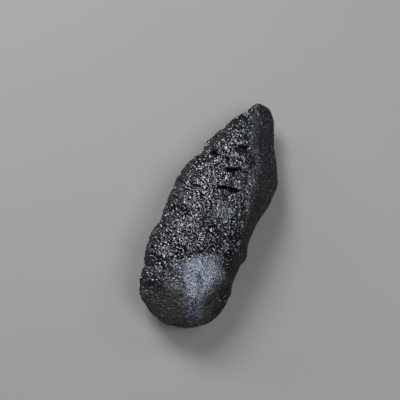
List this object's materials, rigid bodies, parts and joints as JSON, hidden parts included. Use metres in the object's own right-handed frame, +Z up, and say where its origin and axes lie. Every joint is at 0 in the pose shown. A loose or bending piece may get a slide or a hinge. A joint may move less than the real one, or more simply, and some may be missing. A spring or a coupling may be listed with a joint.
{
  "type": "tektite",
  "caption": "Splash-form tektite: an elongated lump of black natural glass with a pitted skin, a smooth flank and a blunt tapered tip, lying on its back.",
  "frame": {"origin": "bottom centre of the stone's bounding box, on the surface that it rests on", "axes": "+X from the thick butt to the blunt tip, along the longest extent; +Z up, the thinnest way through the stone; +Y to its left side"},
  "size_m": [0.0864, 0.0354, 0.0256],
  "materials": {
    "tektite_glass": "opaque black natural glass, satin gloss, densely pitted skin with smoother flank and butt"
  },
  "bodies": {
    "root": {"tektite": "tektite_glass"}
  },
  "joints": []
}
